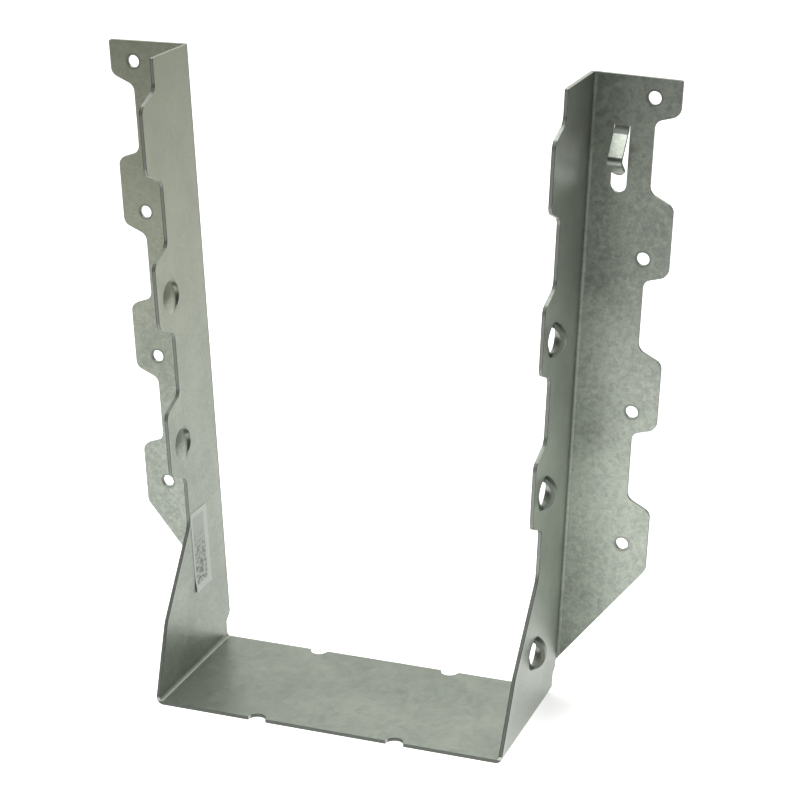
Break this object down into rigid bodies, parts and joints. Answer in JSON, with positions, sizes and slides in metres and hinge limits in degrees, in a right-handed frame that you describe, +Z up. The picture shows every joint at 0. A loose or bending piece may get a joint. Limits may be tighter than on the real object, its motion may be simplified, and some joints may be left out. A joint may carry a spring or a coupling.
{
  "type": "joist hanger",
  "caption": "Face-mount joist hanger folded from galvanised sheet: flat seat, leaning side panels with open nail domes, and wavy nailing flanges with prongs.",
  "frame": {"origin": "centre of the bounding box in plan, at the underside of the seat", "axes": "+Z up along the side panels, +Y towards the header, +X across the joist"},
  "size_m": [0.1916, 0.058, 0.2078],
  "materials": {
    "galvanised_steel": "hot-dip galvanised, faint spangle"
  },
  "bodies": {
    "root": {"hanger": "galvanised_steel"}
  },
  "joints": []
}
